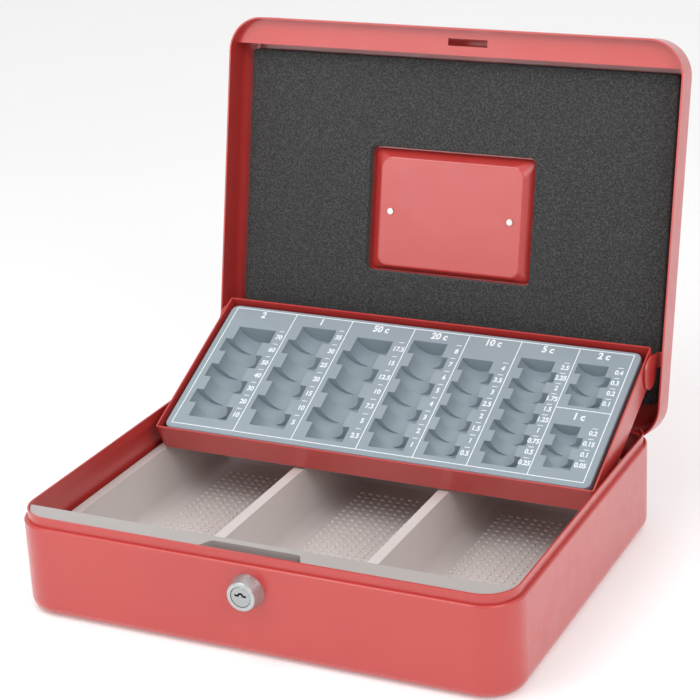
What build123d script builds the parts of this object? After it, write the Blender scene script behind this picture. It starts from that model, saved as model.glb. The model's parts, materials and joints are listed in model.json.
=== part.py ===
from build123d import *
import math
import os

os.makedirs("parts", exist_ok=True)

# Steel cash box with lifting coin tray, shown open.
# Frame: X right, Y to the rear, Z up, origin at the centre of the base underside, mm.

# case
W = 300.0
D = 240.0
CORNER = 22.0
T = 1.0
SHOULDER = 55.2
RIM_TOP = 60.8
RIM_INSET = 2.3
BOTTOM_R = 7.5
FRONT_Y = -D / 2
REAR_IN = D / 2 - T
BEYOND = 150.0

# lid, drawn closed with its lower edge at LID_Z and then opened about the hinge
LID_Z = 55.6
LID_H = 25.5
LID_R = 9.0
OPEN = 102.0
HINGE_Y = 116.6
HINGE_Z = 51.0
KNUCKLE_R = 2.4
PIN_R = 1.25
PIN_END = 125.5
LEAF_X = 125.0
LEAF_Y0 = REAR_IN - T
LEAF_Y1 = REAR_IN
RIVET_SHANK_R = 1.6
RIVET_HEAD_R = 3.0
RELIEF_X = 127.0
RELIEF_Z = 47.5

# tray
TRAY_X = 1.1
TRAY_W = 284.0
TRAY_D = 115.5
TRAY_H = 19.2
TRAY_TILT = 25.0
PIVOT_Y = 75.7
PIVOT_Z = 50.9
PIVOT_U = 47.1
PIVOT_W = -10.7
PIVOT_R = 3.0
EAR_R = 10.5
EAR_T = 1.2
EAR_GAP = 0.5

# coin insert
INSERT_W = 276.6
INSERT_D = 108.4
INSERT_TOP = -2.2
INSERT_WALL = 1.6
POCKET_GAP = 0.25

# base insert
RIM_Z = 38.4
LEDGE_Z = 60.1
LEDGE_Y = -103.2
FLOOR_Z = 3.0
WALL = 1.8
DRAFT = 3.0
DIVIDER_X = 47.5
BODY_W = 292.4
BODY_D = 229.0

# lock
LOCK_Z = 40.2
LOCK_R = 8.05
LOCK_HOLE_R = 8.1
PLUG_R = 6.0
CAM_Y0 = -112.4
CAM_Y1 = -110.6
CAM_SQUARE = 2.5

HINGE = Axis((0, HINGE_Y, HINGE_Z), (1, 0, 0))


def plate(w, d, r, z0, z1):
    return extrude(Pos(0, 0, z0) * RectangleRounded(w, d, r), z1 - z0)


def block(x0, x1, y0, y1, z0, z1):
    size = (x1 - x0, y1 - y0, z1 - z0)
    return Pos((x0 + x1) / 2, (y0 + y1) / 2, (z0 + z1) / 2) * Box(*size)


def rod_x(r, x0, x1, y, z):
    return Pos((x0 + x1) / 2, y, z) * Rot(0, 90, 0) * Cylinder(r, x1 - x0)


def rod_y(r, y0, y1, x, z):
    return Pos(x, (y0 + y1) / 2, z) * Rot(90, 0, 0) * Cylinder(r, y1 - y0)


def rod_z(r, z0, z1, x, y):
    return Pos(x, y, (z0 + z1) / 2) * Cylinder(r, z1 - z0)


def flat_edges(shape, z):
    return shape.edges().filter_by_position(Axis.Z, z - 0.01, z + 0.01)


def save(shape, name):
    export_step(shape, "parts/" + name + ".step")


def save_open(shape, name):
    save(shape.rotate(HINGE, -OPEN), name)


# ---------------------------------------------------------------- base shell
base = plate(W, D, CORNER, 0, SHOULDER)
base = fillet(flat_edges(base, 0), BOTTOM_R)
base = fillet(flat_edges(base, SHOULDER), 1.2)
base += plate(W - 2 * RIM_INSET, D - 2 * RIM_INSET, CORNER - RIM_INSET, SHOULDER - 1, RIM_TOP)
cavity = plate(W - 2 * T, D - 2 * T, CORNER - T, T, SHOULDER - T)
cavity = fillet(flat_edges(cavity, T), BOTTOM_R - T)
inset = RIM_INSET + T
base -= cavity
base -= plate(W - 2 * inset, D - 2 * inset, CORNER - inset, SHOULDER - 2, RIM_TOP + 1)
# the rear wall is cut down for the hinge, and the raised rim stops short of it
base -= block(-RELIEF_X, RELIEF_X, 105, 125, RELIEF_Z, RIM_TOP + 1)
base -= block(-BEYOND, BEYOND, 110, 125, SHOULDER, RIM_TOP + 1)
base -= rod_y(LOCK_HOLE_R, -125, -110, 0, LOCK_Z)

# ---------------------------------------------------------------- base insert


def tub(x0, x1, grow):
    w = x1 - x0 + 2 * grow
    y0 = LEDGE_Y - grow
    y1 = 108.0 + grow
    depth = LEDGE_Z - FLOOR_Z + grow
    mid = Pos((x0 + x1) / 2, (y0 + y1) / 2, LEDGE_Z)
    shape = extrude(mid * RectangleRounded(w, y1 - y0, 8 + grow), -depth, taper=DRAFT)
    return fillet(flat_edges(shape, FLOOR_Z - grow), 7 + grow)


def lock_bay(grow):
    outer = 33 + grow
    inner = 26.5 + grow
    back = -108 + grow
    pts = [(-outer, FRONT_Y), (outer, FRONT_Y), (inner, back), (-inner, back)]
    bay = extrude(Pos(0, 0, 18 - grow) * make_face(Polyline(*pts, close=True)), 50)
    return fillet(bay.edges().filter_by(Axis.Z).group_by(Axis.Y)[-1], 3)


# bay widths at the ledge, from their widths at the lower rim and the draft
lean = (LEDGE_Z - RIM_Z) * math.tan(math.radians(DRAFT))
outer_x = 140.2 + lean
left = -DIVIDER_X - 3.35 + lean
right = -DIVIDER_X + 3.35 - lean
bays = [(-outer_x, left), (right, -right), (-left, outer_x)]

seat = Pos(0, -2.2, 0)
body = seat * plate(BODY_W, BODY_D, 19.0, T, LEDGE_Z)
body = fillet(flat_edges(body, T), 6)
body -= block(-BEYOND, BEYOND, LEDGE_Y, 130, RIM_Z, LEDGE_Z + 1)
hollow = seat * plate(BODY_W - 2 * WALL, BODY_D - 2 * WALL, 19.0 - WALL, 0, LEDGE_Z - WALL)
hollow -= block(-BEYOND, BEYOND, LEDGE_Y - WALL, 130, RIM_Z - WALL, LEDGE_Z + 1)
for x0, x1 in bays:
    body -= tub(x0, x1, 0)
    hollow -= tub(x0, x1, WALL)
body -= lock_bay(0)
hollow -= lock_bay(WALL)
body -= hollow
save(body, "base_insert")

# ---------------------------------------------------------------- hinge
BASE_KNUCKLES = [(-LEAF_X, -75.3), (-24.7, 24.7), (75.3, LEAF_X)]
LID_KNUCKLES = [(-74.7, -25.3), (25.3, 74.7)]
RIVET_X = [-112, -50, 0, 50, 112]
BASE_RIVET_Z = 41.0
LID_RIVET_Z = 64.0

base_leaf = block(-LEAF_X, LEAF_X, LEAF_Y0, LEAF_Y1, 36, HINGE_Z - 3.3)
for x0, x1 in BASE_KNUCKLES:
    base_leaf += block(x0, x1, LEAF_Y0, LEAF_Y1, HINGE_Z - 3.4, HINGE_Z)
    base_leaf += rod_x(KNUCKLE_R, x0, x1, HINGE_Y, HINGE_Z)
base_leaf -= rod_x(PIN_R, -BEYOND, BEYOND, HINGE_Y, HINGE_Z)

lid_leaf = block(-LEAF_X, LEAF_X, LEAF_Y0, LEAF_Y1, HINGE_Z + 3.8, 69)
for x0, x1 in LID_KNUCKLES:
    lid_leaf += block(x0, x1, LEAF_Y0, LEAF_Y1, HINGE_Z, HINGE_Z + 4)
    lid_leaf += rod_x(KNUCKLE_R, x0, x1, HINGE_Y, HINGE_Z)
lid_leaf -= rod_x(PIN_R + 0.05, -BEYOND, BEYOND, HINGE_Y, HINGE_Z)


def rivet_hole(x, z):
    return rod_y(RIVET_SHANK_R, 117, 122, x, z)


def rivet_through(x, z):
    rivet = rod_y(RIVET_SHANK_R, 116.9, 121.1, x, z)
    rivet += rod_y(RIVET_HEAD_R, 116.9, 118, x, z)
    return rivet + rod_y(RIVET_HEAD_R, 120, 121.1, x, z)


for x in RIVET_X:
    base_leaf -= rivet_hole(x, BASE_RIVET_Z)
    lid_leaf -= rivet_hole(x, LID_RIVET_Z)
    base -= rivet_hole(x, BASE_RIVET_Z)
base_rivets = [rivet_through(x, BASE_RIVET_Z) for x in RIVET_X]
lid_rivets = [rivet_through(x, LID_RIVET_Z) for x in RIVET_X]

pin = rod_x(PIN_R, -PIN_END, PIN_END, HINGE_Y, HINGE_Z)
for s in (-1, 1):
    x0, x1 = sorted((s * LEAF_X, s * (LEAF_X + 1.5)))
    pin += rod_x(2.0, x0, x1, HINGE_Y, HINGE_Z)
save(base, "base_shell")
save(base_leaf, "hinge_leaf_base")
save_open(lid_leaf, "hinge_leaf_lid")
save(pin, "hinge_pin")
save(Compound(children=base_rivets), "hinge_rivets_base")
save_open(Compound(children=lid_rivets), "hinge_rivets_lid")

# ---------------------------------------------------------------- lid
BAIL_Y = -2.7
BAIL_Z = 22.9
BAIL_R = 2.0
POST_X = 40.5
BOW_X = 34.4
BOW_REACH = 29.0
DISH_Z = 19.5


def bowl(*rings):
    # each ring: width, depth, corner radius, centre y, height
    faces = [Pos(0, y, z) * RectangleRounded(w, d, r) for w, d, r, y, z in rings]
    return loft(faces, ruled=True)


lid = plate(W, D, CORNER, 0, LID_H)
lid = fillet(flat_edges(lid, LID_H), LID_R)
lid_in = plate(W - 2 * T, D - 2 * T, CORNER - T, -1, LID_H - T)
lid -= fillet(flat_edges(lid_in, LID_H - T), LID_R - T)
# the dish that the handle lies in: pressed down from the top, one sheet thick
dish = bowl((96, 68.9, 7, -2.15, DISH_Z), (109.4, 77.6, 4, -3.4, LID_H - 0.9))
dish = fillet(flat_edges(dish, DISH_Z), 2)
scoop = bowl((95.2, 67.8, 6, -2.25, DISH_Z + T), (108.6, 76.5, 3.4, -3.5, LID_H))
lid += dish
lid -= fillet(flat_edges(scoop, DISH_Z + T), 1.2)
for x in (-POST_X, POST_X):
    lid -= rod_z(1.75, 18, 23, x, BAIL_Y)
for x in RIVET_X:
    lid -= rivet_hole(x, LID_RIVET_Z - LID_Z)
save_open(Pos(0, 0, LID_Z) * lid, "lid_shell")

# shelf across the lid's front, with the slot that the cam turns into
keeper = plate(W - 2 * T, D - 2 * T, CORNER - T, 6.5, 7.5)
keeper -= block(-BEYOND, BEYOND, LEDGE_Y, 130, 5, 9)
keeper -= block(-1.7, 24.2, -113.4, -108.9, 5, 9)
keeper += block(-120, 120, -119, -118, 6.5, 14)
save_open(Pos(0, 0, LID_Z) * keeper, "keeper_plate")

foam = block(-142.9, 142.9, -100, 100, 18, LID_H - T)
foam = fillet(foam.edges().filter_by(Axis.Z), 3)
foam = chamfer(flat_edges(foam, LID_H - T), 2)
foam -= Pos(0, -3.6, 0) * plate(110.4, 78.8, 3, 17, 27)
save_open(Pos(0, 0, LID_Z) * foam, "lid_foam")

# bail handle lying in the dish, stubs turned outward into two posts
posts = []
for x in (-POST_X, POST_X):
    post = rod_z(3.5, DISH_Z + T, 25.2, x, BAIL_Y)
    post += rod_z(1.75, 19, 21, x, BAIL_Y)
    post += rod_z(2.0, 18.7, 19.5, x, BAIL_Y)
    posts.append(post - rod_x(1.35, x - 5, x + 5, BAIL_Y, BAIL_Z))
save_open(Pos(0, 0, LID_Z) * Compound(children=posts), "handle_posts")

bow = Polyline((-BOW_X, 0), (-BOW_X, -BOW_REACH), (BOW_X, -BOW_REACH), (BOW_X, 0))
bow = fillet(bow.vertices().group_by(Axis.Y)[0], 9)
bail = sweep(Plane(origin=(-BOW_X, 0, 0), z_dir=(0, -1, 0)) * Circle(BAIL_R), path=bow)
for s in (-1, 1):
    x0, x1 = sorted((s * BOW_X, s * (POST_X + 3.5)))
    bail += Pos(s * BOW_X, 0, 0) * Sphere(BAIL_R)
    bail += rod_x(1.3, x0, x1, 0, 0)
save_open(Pos(0, BAIL_Y, LID_Z + BAIL_Z) * bail, "bail_handle")

# ---------------------------------------------------------------- tray ears and pivot rivets
for side, s in (("left", -1), ("right", 1)):
    wall = TRAY_W / 2 + s * TRAY_X
    x0 = wall + EAR_GAP
    x1 = x0 + EAR_T
    y0 = PIVOT_Y - EAR_R
    y1 = y0 + 9
    ear = rod_x(EAR_R, x0, x1, PIVOT_Y, PIVOT_Z)
    # the strap bends out to the lid's side wall, where its foot is fixed
    ear += block(x0, x1, y0, y1, PIVOT_Z, LID_Z + 10.5)
    ear += block(x0, W / 2 - T, y0, y1, LID_Z + 9, LID_Z + 10.5)
    ear += block(W / 2 - T - 1.5, W / 2 - T, y0, y1, LID_Z + 9, LID_Z + 16)
    ear = fillet(ear.edges().filter_by(GeomType.CIRCLE).group_by(Axis.X)[-1], 0.4)
    ear -= rod_x(PIVOT_R, x0 - 1, x1 + 1, PIVOT_Y, PIVOT_Z)
    rivet = rod_x(PIVOT_R, wall - 1.8, x1, PIVOT_Y, PIVOT_Z)
    rivet += rod_x(5.0, wall - 1.8, wall - T - 0.1, PIVOT_Y, PIVOT_Z)
    if s < 0:
        ear = mirror(ear, about=Plane.YZ)
        rivet = mirror(rivet, about=Plane.YZ)
    save_open(ear, "ear_" + side)
    save_open(rivet, "pivot_rivet_" + side)

# ---------------------------------------------------------------- tray, drawn with its rim in the XY plane
arm_y = PIVOT_Y - HINGE_Y
arm_z = PIVOT_Z - HINGE_Z
co = math.cos(math.radians(OPEN))
si = math.sin(math.radians(OPEN))
open_y = HINGE_Y + arm_y * co + arm_z * si
open_z = HINGE_Z - arm_y * si + arm_z * co


def save_tray(shape, name):
    moved = Pos(0, -PIVOT_U, -PIVOT_W) * shape
    save(Pos(0, open_y, open_z) * Rot(TRAY_TILT, 0, 0) * moved, name)


tray = block(-TRAY_W / 2, TRAY_W / 2, -TRAY_D / 2, TRAY_D / 2, -TRAY_H, 0)
tray = fillet(tray.edges().filter_by(Axis.Z), 1.6)
tray = fillet(flat_edges(tray, -TRAY_H), 1.6)
tray_in = block(-TRAY_W / 2 + T, TRAY_W / 2 - T, -TRAY_D / 2 + T, TRAY_D / 2 - T, -TRAY_H + T, 1)
tray_in = fillet(tray_in.edges().filter_by(Axis.Z), 0.6)
tray -= fillet(flat_edges(tray_in, -TRAY_H + T), 0.6)
tray -= rod_x(PIVOT_R + 0.05, -143, 143, PIVOT_U, PIVOT_W)
# open seams where the folded corners meet
for x in (-TRAY_W / 2 + 1.9, TRAY_W / 2 - 1.9):
    for y0, y1 in ((-60, -TRAY_D / 2 + T), (TRAY_D / 2 - T, 60)):
        tray -= block(x - 0.2, x + 0.2, y0, y1, -TRAY_H + 3, 1)
save_tray(Pos(TRAY_X, 0, 0) * tray, "tray_shell")

washers = []
for s in (-1, 1):
    x = TRAY_X + s * (TRAY_W / 2 + 0.25)
    washers.append(rod_x(8, x - 0.2, x + 0.2, PIVOT_U, PIVOT_W) - rod_x(3.1, x - 1, x + 1, PIVOT_U, PIVOT_W))
save_tray(Compound(children=washers), "pivot_washers")

# ---------------------------------------------------------------- coin insert
# column centre, half shift, coin diameter, rear end, front end, cells; coins stand on edge
COLUMNS = [
    (-114.3, 2.4, 25.75, 35.3, -43.5, 7),
    (-73.2, 2.4, 23.25, 42.0, -43.5, 7),
    (-33.1, 2.4, 24.25, 38.6, -46.9, 7),
    (7.8, 2.1, 22.25, 42.0, -46.9, 8),
    (42.5, 1.9, 19.75, 32.5, -46.9, 8),
    (79.6, 2.0, 21.25, 38.6, -46.9, 10),
    (114.2, 2.0, 18.75, 39.8, 5.8, 4),
    (113.6, 2.0, 16.25, -9.7, -43.0, 4),
]


def troughs(grow):
    parts = []
    for x, shift, dia, rear, front, cells in COLUMNS:
        step = (rear - front) / cells
        for i in range(cells):
            cx = x + shift * (1 if i % 2 == 0 else -1)
            y0 = front + i * step - grow
            y1 = front + (i + 1) * step + grow
            parts.append(rod_y(dia / 2 + POCKET_GAP + grow, y0, y1, cx, INSERT_TOP))
    return parts


middle = Pos(0.5, -0.2, 0)
top = middle * plate(INSERT_W, INSERT_D, 5, -TRAY_H + T, INSERT_TOP)
top = fillet(flat_edges(top, INSERT_TOP), 1.0)
inner = (INSERT_W - 2 * INSERT_WALL, INSERT_D - 2 * INSERT_WALL)
under = middle * plate(*inner, 3.4, -TRAY_H, INSERT_TOP - INSERT_WALL)
under -= troughs(INSERT_WALL)
coins = top - under
coins -= troughs(0)
save_tray(coins, "coin_insert")

# ---------------------------------------------------------------- lock
cone = Plane(origin=(0, FRONT_Y, LOCK_Z), z_dir=(0, -1, 0))
barrel = extrude(cone * Circle(10), 8, taper=math.degrees(math.atan(1.75 / 8)))
barrel = fillet(barrel.edges().group_by(Axis.Y)[0], 0.8)
barrel += rod_y(LOCK_R, FRONT_Y, -113.2, 0, LOCK_Z)
barrel -= rod_y(PLUG_R + 0.05, -130, -113, 0, LOCK_Z)
save(barrel, "lock_barrel")

# keyway outline about the lock axis
key_pts = [
    (-3.5, -0.9), (-3.5, 0.3), (-1.6, 0.3), (-1.0, 1.5), (1.2, 1.5), (1.8, 0.3),
    (3.5, 0.3), (3.5, -0.9), (1.0, -0.9), (0.4, 0.3), (-0.6, 0.3), (-1.2, -0.9),
]
key_plane = Plane(origin=(0, -128, LOCK_Z + 1), x_dir=(1, 0, 0), z_dir=(0, -1, 0))
plug = rod_y(PLUG_R, -127.8, CAM_Y0, 0, LOCK_Z)
plug = chamfer(plug.edges().group_by(Axis.Y)[0], 0.4)
plug += block(-CAM_SQUARE, CAM_SQUARE, CAM_Y0, CAM_Y1, LOCK_Z - CAM_SQUARE, LOCK_Z + CAM_SQUARE)
plug -= extrude(key_plane * make_face(Polyline(*key_pts, close=True)), -6)
plug -= rod_y(1.5, -118, -105, 0, LOCK_Z)
save(plug, "lock_plug")

nut = Plane(origin=(0, -118.2, LOCK_Z), z_dir=(0, 1, 0))
nut = extrude(nut * RegularPolygon(11.5, 6), 3) - rod_y(LOCK_HOLE_R, -120, -110, 0, LOCK_Z)
save(nut, "lock_nut")
ring = rod_y(11, -119, -118.2, 0, LOCK_Z) - rod_y(LOCK_HOLE_R, -120, -110, 0, LOCK_Z)
save(ring, "lock_washer")

# cam in its locked drawing (x, z) about the lock axis, then turned to the unlocked rest
cam_pts = [
    (-5.5, -5.5), (5.5, -5.5), (7.5, 3), (7.5, 25.8), (4.5, 27),
    (-6.5, 27), (-6.5, 23.4), (1.5, 23.4), (1.5, 6.5), (-5.5, 5.5),
]
cam_plane = Plane(origin=(0, CAM_Y1, LOCK_Z), x_dir=(1, 0, 0), z_dir=(0, -1, 0))
cam = extrude(cam_plane * make_face(Polyline(*cam_pts, close=True)), CAM_Y1 - CAM_Y0)
cam -= block(-CAM_SQUARE, CAM_SQUARE, CAM_Y0 - 1, CAM_Y1 + 1, LOCK_Z - CAM_SQUARE, LOCK_Z + CAM_SQUARE)
save(cam.rotate(Axis((0, 0, LOCK_Z), (0, 1, 0)), 90), "lock_cam")

screw = rod_y(3.4, CAM_Y1, -109.0, 0, LOCK_Z) + rod_y(1.5, -117.5, CAM_Y1, 0, LOCK_Z)
screw -= block(-3.5, 3.5, -109.4, -108.5, LOCK_Z - 0.4, LOCK_Z + 0.4)
save(screw, "cam_screw")
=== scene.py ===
import json
import math

import bmesh
import bpy
from mathutils import Matrix, Vector, noise


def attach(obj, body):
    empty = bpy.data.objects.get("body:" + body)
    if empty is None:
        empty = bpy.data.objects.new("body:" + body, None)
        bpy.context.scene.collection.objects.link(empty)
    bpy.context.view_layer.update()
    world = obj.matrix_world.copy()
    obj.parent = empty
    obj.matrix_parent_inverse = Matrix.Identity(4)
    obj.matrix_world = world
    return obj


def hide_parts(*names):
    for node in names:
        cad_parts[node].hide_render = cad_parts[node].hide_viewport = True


# Red steel cash box, open, with its coin tray. Everything is in metres, in the frame of the CAD;
# places given in millimetres are multiplied by MM.

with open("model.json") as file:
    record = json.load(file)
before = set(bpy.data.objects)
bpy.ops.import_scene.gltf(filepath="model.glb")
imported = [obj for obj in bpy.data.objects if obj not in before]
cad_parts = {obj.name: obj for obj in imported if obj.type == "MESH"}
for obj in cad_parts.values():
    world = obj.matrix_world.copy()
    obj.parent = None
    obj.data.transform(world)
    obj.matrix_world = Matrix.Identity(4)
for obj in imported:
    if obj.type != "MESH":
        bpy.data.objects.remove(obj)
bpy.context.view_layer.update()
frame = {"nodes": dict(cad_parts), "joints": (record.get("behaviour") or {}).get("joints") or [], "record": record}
nodes = frame["nodes"]
joints = {j["name"]: j for j in frame["joints"]}
MM = 0.001

# ---------------------------------------------------------------- frames of the open lid and the tilted tray
# LID takes the shut lid's frame to where the lid rests, and TRAY does so for the tray's own frame, which
# has its rim in the XY plane.
LID_Z = 55.6 * MM
OPEN = math.radians(102)
TILT = math.radians(25)
PIVOT_U = 47.1 * MM
PIVOT_W = -10.7 * MM
hinge = Vector(joints["lid_hinge"]["pos_m"])
pivot = Vector(joints["tray_pivot"]["pos_m"])
LID = (Matrix.Translation(hinge) @ Matrix.Rotation(-OPEN, 4, "X")
       @ Matrix.Translation(-hinge) @ Matrix.Translation((0, 0, LID_Z)))
TRAY = (Matrix.Translation(pivot) @ Matrix.Rotation(TILT, 4, "X")
        @ Matrix.Translation((0, -PIVOT_U, -PIVOT_W)))

# ---------------------------------------------------------------- camera
CAM_POS = Vector((0.4863, -0.9597, 0.5434))
YAW = math.radians(-25.59)
PITCH = math.radians(-20.92)
ROLL = math.radians(-2.51)
SENSOR_MM = 36.0
LENS_MM = 105.00686
SHIFT_X = -0.042857144


def make_camera():
    forward = Vector((math.sin(YAW) * math.cos(PITCH), math.cos(YAW) * math.cos(PITCH), math.sin(PITCH)))
    level = Vector((math.cos(YAW), -math.sin(YAW), 0))
    above = level.cross(forward)
    right = math.cos(ROLL) * level + math.sin(ROLL) * above
    up = -math.sin(ROLL) * level + math.cos(ROLL) * above
    cam = bpy.data.cameras.new("camera")
    cam.sensor_width = SENSOR_MM
    cam.lens = LENS_MM
    cam.shift_x = SHIFT_X
    cam.clip_start = 0.05
    ob = bpy.data.objects.new("camera", cam)
    turn = Matrix((right, up, -forward)).transposed().to_4x4()
    turn.translation = CAM_POS
    ob.matrix_world = turn
    bpy.context.collection.objects.link(ob)
    bpy.context.scene.camera = ob


make_camera()

# ---------------------------------------------------------------- materials


class Graph:
    """A Principled material whose inputs are fed by textures in object coordinates."""

    def __init__(self, name):
        self.mat = bpy.data.materials.new(name)
        self.mat.use_nodes = True
        self.nodes = self.mat.node_tree.nodes
        self.links = self.mat.node_tree.links
        self.bsdf = self.nodes["Principled BSDF"]
        self.coord = self.nodes.new("ShaderNodeTexCoord").outputs["Object"]

    def set(self, **values):
        for key, value in values.items():
            self.bsdf.inputs[key.replace("_", " ")].default_value = value

    def use(self, socket, output):
        self.links.new(output, self.bsdf.inputs[socket])

    def noise(self, scale, detail=3.0, rough=0.55):
        n = self.nodes.new("ShaderNodeTexNoise")
        n.inputs["Scale"].default_value = scale
        n.inputs["Detail"].default_value = detail
        n.inputs["Roughness"].default_value = rough
        self.links.new(self.coord, n.inputs["Vector"])
        return n.outputs["Fac"]

    def cells(self, scale):
        n = self.nodes.new("ShaderNodeTexVoronoi")
        n.inputs["Scale"].default_value = scale
        self.links.new(self.coord, n.inputs["Vector"])
        return n.outputs["Distance"]

    def height(self, lo, hi):
        """0 to 1 over the height from lo to hi."""
        split = self.nodes.new("ShaderNodeSeparateXYZ")
        self.links.new(self.coord, split.inputs[0])
        n = self.nodes.new("ShaderNodeMapRange")
        n.inputs["From Min"].default_value = lo
        n.inputs["From Max"].default_value = hi
        self.links.new(split.outputs["Z"], n.inputs["Value"])
        return n.outputs["Result"]

    def times(self, a, b):
        """One colour multiplied by another."""
        n = self.nodes.new("ShaderNodeMix")
        n.data_type = "RGBA"
        n.blend_type = "MULTIPLY"
        n.inputs["Factor"].default_value = 1.0
        self.links.new(a, n.inputs["A"])
        self.links.new(b, n.inputs["B"])
        return n.outputs["Result"]

    def ramp(self, fac, *stops):
        """A colour ramp; each stop is a position and a colour or grey."""
        n = self.nodes.new("ShaderNodeValToRGB")
        ramp = n.color_ramp
        while len(ramp.elements) < len(stops):
            ramp.elements.new(0.5)
        for e, (pos, col) in zip(ramp.elements, stops):
            e.position = pos
            e.color = (*col, 1) if isinstance(col, tuple) else (col, col, col, 1)
        self.links.new(fac, n.inputs["Fac"])
        return n.outputs["Color"]

    def span(self, fac, lo, hi):
        """The middle of a noise, 0.3 to 0.7, spread over lo to hi."""
        n = self.nodes.new("ShaderNodeMapRange")
        n.inputs["To Min"].default_value = lo
        n.inputs["To Max"].default_value = hi
        n.inputs["From Min"].default_value = 0.3
        n.inputs["From Max"].default_value = 0.7
        self.links.new(fac, n.inputs["Value"])
        return n.outputs["Result"]

    def bump(self, *layers):
        """Bumps one on another; each layer is a height, a strength and a depth in metres."""
        last = None
        for height, strength, distance in layers:
            n = self.nodes.new("ShaderNodeBump")
            n.inputs["Strength"].default_value = strength
            n.inputs["Distance"].default_value = distance
            self.links.new(height, n.inputs["Height"])
            if last:
                self.links.new(last, n.inputs["Normal"])
            last = n.outputs["Normal"]
        self.use("Normal", last)


def red_paint():
    """Powder coat: broad tone drift, faint orange peel and a soft clear gloss."""
    g = Graph("red_powder_coat")
    g.use("Base Color", g.ramp(g.noise(14, 2), (0.3, (0.475, 0.036, 0.032)), (0.7, (0.505, 0.041, 0.036))))
    g.use("Roughness", g.span(g.noise(60, 4), 0.28, 0.38))
    g.bump((g.noise(900, 2), 0.10, 0.0002), (g.noise(160, 2), 0.05, 0.0006))
    g.set(Coat_Weight=0.65, Coat_Roughness=0.2)
    return g.mat


def moulded(name, lo, hi, rough, grain, depth):
    """Satin moulded plastic with a fine grain."""
    g = Graph(name)
    g.use("Base Color", g.ramp(g.noise(22, 4), (0.3, lo), (0.7, hi)))
    g.use("Roughness", g.span(g.noise(240, 3), rough - 0.05, rough + 0.06))
    g.bump((g.noise(grain, 3, 0.6), depth, 0.0002), (g.noise(70, 2), 0.04, 0.0008))
    return g.mat


def insert_material():
    """The moulded insert, with painted light: its colour is paler low down, so the deep floors and bay walls come
    out brighter than the ledge.
    """
    g = Graph("taupe_plastic")
    tone = g.ramp(g.noise(22, 4), (0.3, (0.62, 0.575, 0.555)), (0.7, (0.66, 0.615, 0.595)))
    # painted light: paler towards the bottom, lightening the deep bays that lie in shade, darker towards the ledge
    painted_light_ramp = g.ramp(g.height(0.0, 60 * MM), (0.0, 1.0), (0.65, 0.97), (0.95, 0.62))
    g.use("Base Color", g.times(tone, painted_light_ramp))
    g.use("Roughness", g.span(g.noise(240, 3), 0.45, 0.56))
    g.bump((g.noise(1300, 3, 0.6), 0.14, 0.0002), (g.noise(70, 2), 0.04, 0.0008))
    return g.mat


def foam_material():
    """Dark open-cell foam: light specks between fine pores."""
    g = Graph("open_cell_foam")
    fine = g.noise(1000, 3, 0.6)
    pores = g.cells(800)
    speck = g.nodes.new("ShaderNodeMath")
    speck.operation = "MULTIPLY"
    g.links.new(fine, speck.inputs[0])
    g.links.new(g.span(pores, 0.75, 1.25), speck.inputs[1])
    g.use("Base Color", g.ramp(speck.outputs[0], (0.30, 0.026), (0.50, 0.044), (0.72, 0.070)))
    g.bump((pores, 0.6, 0.0006), (fine, 0.5, 0.0004))
    g.set(Roughness=0.95, Sheen_Weight=0.15, Sheen_Roughness=0.5, Specular_IOR_Level=0.2)
    return g.mat


def metal(name, colour, rough, grain=0.0, metallic=1.0):
    """Plated metal with a slightly uneven polish, and with fine scratches where grain isn't 0."""
    g = Graph(name)
    lo = tuple(c * 0.92 for c in colour)
    g.use("Base Color", g.ramp(g.noise(90, 3), (0.35, lo), (0.65, colour)))
    g.use("Roughness", g.span(g.noise(350, 4, 0.6), rough * 0.8, rough * 1.3))
    if grain:
        g.bump((g.noise(1400, 3, 0.6), grain, 0.0001))
    g.set(Metallic=metallic)
    return g.mat


def ink():
    """The white print on the coin insert."""
    g = Graph("white_print")
    g.use("Base Color", g.ramp(g.noise(500, 3), (0.3, (0.70, 0.76, 0.80)), (0.7, (0.84, 0.89, 0.93))))
    g.use("Roughness", g.span(g.noise(300, 2), 0.42, 0.55))
    return g.mat


RED = red_paint()
TAUPE = insert_material()
BLUE = moulded("blue_grey_plastic", (0.26, 0.316, 0.354), (0.29, 0.345, 0.383), 0.40, 900, 0.08)
FOAM = foam_material()
ZINC = metal("zinc_plate", (0.56, 0.54, 0.52), 0.34, 0.05)
CHROME = metal("polished_chrome", (0.47, 0.49, 0.49), 0.27, metallic=0.7)
PLUG = metal("worn_plug", (0.42, 0.44, 0.44), 0.38, 0.14)
INK = ink()

# material of each material slot in the record; only the lock plug differs from its slot
LOOK = {
    "red_paint": RED,
    "taupe_plastic": TAUPE,
    "blue_grey_plastic": BLUE,
    "dark_foam": FOAM,
    "plated_steel": ZINC,
    "chrome": CHROME,
}
for row in frame["record"]["subparts"]:
    mesh = nodes[row["node"]].data
    mesh.materials.clear()
    mesh.materials.append(PLUG if row["node"] == "lock_plug" else LOOK[row["material_slot"]])

# ---------------------------------------------------------------- pieces


def shade(mesh, smooth):
    for p in mesh.polygons:
        p.use_smooth = smooth


def add_piece(name, bm, matrix, material, body, smooth):
    bm.normal_update()
    mesh = bpy.data.meshes.new(name)
    bm.to_mesh(mesh)
    bm.free()
    mesh.transform(matrix)
    shade(mesh, smooth)
    mesh.materials.append(material)
    ob = bpy.data.objects.new(name, mesh)
    bpy.context.collection.objects.link(ob)
    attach(ob, body)


# ---------------------------------------------------------------- lid foam
VOXEL = 1.3 * MM
SKIN = 0.25 * MM


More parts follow.
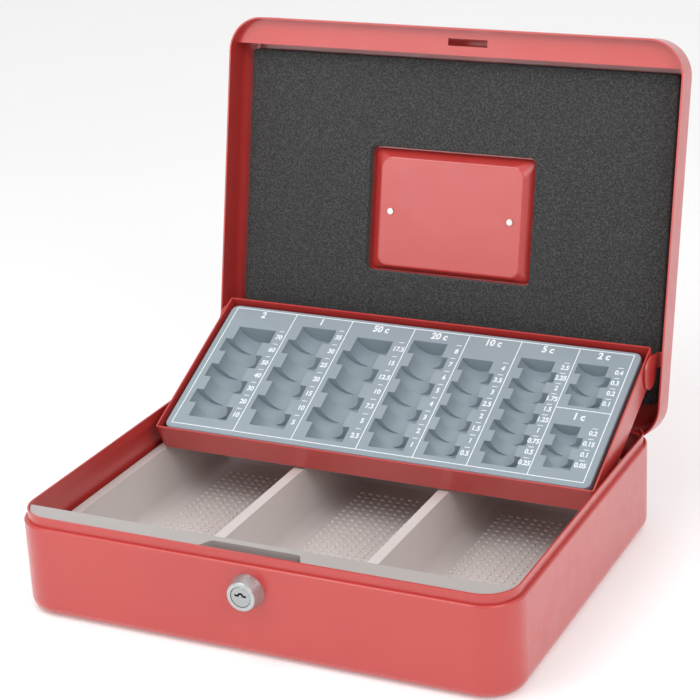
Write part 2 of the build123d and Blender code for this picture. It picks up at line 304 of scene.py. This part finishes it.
def foam_pad():
    """The lid foam: the CAD slab remeshed, softened along its edges and given a slightly uneven skin."""
    mesh = nodes["lid_foam"].data.copy()
    mesh.transform(LID.inverted())
    ob = bpy.data.objects.new("foam_pad", mesh)
    bpy.context.collection.objects.link(ob)
    remesh = ob.modifiers.new("remesh", "REMESH")
    remesh.mode = "VOXEL"
    remesh.voxel_size = VOXEL
    soft = ob.modifiers.new("soften", "SMOOTH")
    soft.factor = 0.5
    soft.iterations = 3
    graph = bpy.context.evaluated_depsgraph_get()
    done = bpy.data.meshes.new_from_object(ob.evaluated_get(graph))
    ob.modifiers.clear()
    ob.data = done
    moved = []
    for v, n in zip(done.vertices, done.vertex_normals):
        # every point moves inwards, so the skin stays inside the CAD slab
        lift = noise.noise(v.co * 60) * 0.5 + noise.noise(v.co * 420) * 0.5 - 0.6
        moved.extend(v.co + n.vector * lift * SKIN)
    done.vertices.foreach_set("co", moved)
    done.transform(LID)
    shade(done, True)
    done.materials.clear()
    done.materials.append(FOAM)
    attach(ob, "lid")
    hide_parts("lid_foam")


foam_pad()


# ---------------------------------------------------------------- grip dots on the floors of the bays
DOT_PITCH = 5.4
DOT_SIDES = 10
# radius and height of each ring of a dot, from the floor up
DOT_RINGS = ((1.6, 0.0), (1.3, 0.6), (0.7, 0.9))
DOT_FLOOR_Z = 2.95
DOTS_FRONT = -89.0
DOTS_LENGTH = 180.0
BAYS = (("left", -128, -59.5), ("middle", -34.5, 34.5), ("right", 59.5, 128))


def grip_dot(bm, centre):
    rings = []
    for radius, z in DOT_RINGS:
        angles = [k * math.tau / DOT_SIDES for k in range(DOT_SIDES)]
        around = [Vector((radius * math.cos(a), radius * math.sin(a), z)) for a in angles]
        rings.append([bm.verts.new((centre + v) * MM) for v in around])
    for low, high in zip(rings, rings[1:]):
        for k in range(DOT_SIDES):
            after = (k + 1) % DOT_SIDES
            bm.faces.new((low[k], low[after], high[after], high[k]))
    bm.faces.new(rings[-1])
    bm.faces.new(rings[0][::-1])


def floor_dots():
    rows = int(DOTS_LENGTH / DOT_PITCH)
    for name, x0, x1 in BAYS:
        bm = bmesh.new()
        cols = int((x1 - x0) / DOT_PITCH)
        first = (x0 + x1) / 2 - (cols - 1) * DOT_PITCH / 2
        for i in range(cols):
            for j in range(rows):
                grip_dot(bm, Vector((first + i * DOT_PITCH, DOTS_FRONT + j * DOT_PITCH, DOT_FLOOR_Z)))
        add_piece("grip_dots_" + name, bm, Matrix.Identity(4), TAUPE, "base", smooth=True)


floor_dots()

# ---------------------------------------------------------------- print on the coin insert
# in millimetres in the tray's own frame: x to the right, u to the rear, w up from the rim
PRINT_W = -2.2
INK_T = 0.07
INK_SUNK = 0.03
LINE_HALF = 0.3
FRAME_X = (-133.5, 134.3)
FRAME_U = (-50.5, 51.5)
DIVIDING_X = (-90.7, -51.2, -8.2, 28.6, 62.8, 100.3)
DIVIDING_U = 3.1
TICK_HALF = (1.7, 0.25)
HEADING_SIZE = 7.4
NUMBER_SIZE = 5.2
# heading, its x and u, rear end, front end, value of the first cell, number of cells, x of the scale
COLUMNS = (
    ("2", -113.0, 47.4, 35.3, -43.5, 10, 7, -94.6),
    ("1", -71.5, 47.4, 42.0, -43.5, 5, 7, -55.2),
    ("50 c", -30.0, 47.4, 38.6, -46.9, 2.5, 7, -12.6),
    ("20 c", 9.6, 47.4, 42.0, -46.9, 1, 8, 24.8),
    ("10 c", 45.5, 47.4, 32.5, -46.9, 0.5, 8, 58.6),
    ("5 c", 81.0, 47.4, 38.6, -46.9, 0.25, 10, 95.9),
    ("2 c", 116.5, 47.4, 39.8, 5.8, 0.1, 4, 129.3),
    ("1 c", 116.5, -2.4, -9.7, -43.0, 0.05, 4, 128.6),
)
BOX_FACES = ((3, 2, 1, 0), (4, 5, 6, 7), (0, 1, 5, 4), (1, 2, 6, 5), (2, 3, 7, 6), (3, 0, 4, 7))


def bar(bm, x0, x1, u0, u1):
    vs = []
    for w in (PRINT_W - INK_SUNK, PRINT_W + INK_T):
        for x, u in ((x0, u0), (x1, u0), (x1, u1), (x0, u1)):
            vs.append(bm.verts.new(Vector((x, u, w)) * MM))
    for face in BOX_FACES:
        bm.faces.new([vs[i] for i in face])


def label(bm, text, x, u, size, squeeze):
    cu = bpy.data.curves.new("label", "FONT")
    cu.body = text
    cu.size = size * MM
    cu.align_x = "CENTER"
    cu.align_y = "CENTER"
    cu.extrude = (INK_T + INK_SUNK) / 2 * MM
    cu.resolution_u = 4
    cu.offset = size * 0.034 * MM
    ob = bpy.data.objects.new("label", cu)
    mesh = bpy.data.meshes.new_from_object(ob)
    at = Matrix.Translation(Vector((x, u, PRINT_W + (INK_T - INK_SUNK) / 2)) * MM)
    mesh.transform(at @ Matrix.Diagonal((squeeze, 1, 1, 1)))
    bm.from_mesh(mesh)
    bpy.data.objects.remove(ob)
    bpy.data.curves.remove(cu)
    bpy.data.meshes.remove(mesh)


def print_lines():
    bm = bmesh.new()
    half = LINE_HALF
    x0, x1 = FRAME_X
    u0, u1 = FRAME_U
    for u in FRAME_U:
        bar(bm, x0 - half, x1 + half, u - half, u + half)
    for x in (x0, *DIVIDING_X, x1):
        bar(bm, x - half, x + half, u0 + half, u1 - half)
    bar(bm, DIVIDING_X[-1] + half, x1 - half, DIVIDING_U - half, DIVIDING_U + half)
    tick_x, tick_u = TICK_HALF
    for _, _, _, rear, front, _, cells, x in COLUMNS:
        step = (rear - front) / cells
        for i in range(cells):
            u = front + (i + 1) * step
            bar(bm, x - tick_x, x + tick_x, u - tick_u, u + tick_u)
    add_piece("print_lines", bm, TRAY, INK, "tray", smooth=False)


def print_numbers():
    bm = bmesh.new()
    for text, heading_x, heading_u, rear, front, unit, cells, x in COLUMNS:
        label(bm, text, heading_x, heading_u, HEADING_SIZE, squeeze=0.85)
        step = (rear - front) / cells
        size = min(NUMBER_SIZE, step * 0.58)
        for i in range(cells):
            label(bm, f"{unit * (i + 1):g}", x, front + (i + 0.5) * step + 0.3, size, squeeze=0.86)
    add_piece("print_numbers", bm, TRAY, INK, "tray", smooth=False)


print_lines()
print_numbers()

# ---------------------------------------------------------------- floor and lights
SWEEP_Y = 2.6
SWEEP_R = 1.0
WALL_TOP = 4.0
FLOOR_FRONT = -4
FLOOR_HALF = 6
SWEEP_STEPS = 8


def studio_floor():
    """A pale floor that sweeps up into a pale wall behind the box."""
    g = Graph("studio_floor")
    g.use("Base Color", g.ramp(g.noise(3, 2), (0.3, 0.80), (0.7, 0.82)))
    g.set(Roughness=0.6, Emission_Color=(1, 1, 1, 1), Emission_Strength=0.22)
    bm = bmesh.new()
    profile = [(FLOOR_FRONT, 0), (SWEEP_Y, 0)]
    for k in range(1, SWEEP_STEPS + 1):
        a = k * math.pi / 2 / SWEEP_STEPS
        profile.append((SWEEP_Y + math.sin(a) * SWEEP_R, SWEEP_R - math.cos(a) * SWEEP_R))
    profile.append((SWEEP_Y + SWEEP_R, WALL_TOP))
    left, right = [[bm.verts.new((x, y, z)) for y, z in profile] for x in (-FLOOR_HALF, FLOOR_HALF)]
    for i in range(len(profile) - 1):
        bm.faces.new((left[i], right[i], right[i + 1], left[i + 1]))
    mesh = bpy.data.meshes.new("studio_floor")
    bm.to_mesh(mesh)
    bm.free()
    shade(mesh, True)
    mesh.materials.append(g.mat)
    ob = bpy.data.objects.new("studio_floor", mesh)
    bpy.context.collection.objects.link(ob)


def area(name, at, size, watts, aim=(0, 0, 0.1)):
    """A soft box at a place, turned to face its aim, that the camera doesn't see."""
    light = bpy.data.lights.new(name, "AREA")
    light.shape = "RECTANGLE"
    light.size, light.size_y = size
    light.energy = watts
    ob = bpy.data.objects.new(name, light)
    ob.location = at
    ob.visible_camera = False
    ob.rotation_euler = (Vector(at) - Vector(aim)).to_track_quat("Z", "Y").to_euler()
    bpy.context.collection.objects.link(ob)


def light_studio():
    world = bpy.data.worlds.new("studio")
    bpy.context.scene.world = world
    world.use_nodes = True
    back = world.node_tree.nodes["Background"]
    back.inputs["Color"].default_value = (1, 1, 1, 1)
    back.inputs["Strength"].default_value = 0.72
    area("key", (-0.25, -0.35, 0.75), (0.5, 0.5), 2.7)
    area("fill", (0.8, -0.5, 0.8), (0.6, 0.6), 3.6)
    area("top", (0.2, 0.4, 2.6), (2.4, 2.4), 4)
    area("card", (-0.75, -1.6, 0.45), (0.9, 0.4), 3.4, (0, 0.15, 0.3))
    area("right", (2.3, -1.0, 0.9), (1.6, 1.4), 2.5)
    bpy.context.scene.view_settings.view_transform = "Standard"


studio_floor()
light_studio()
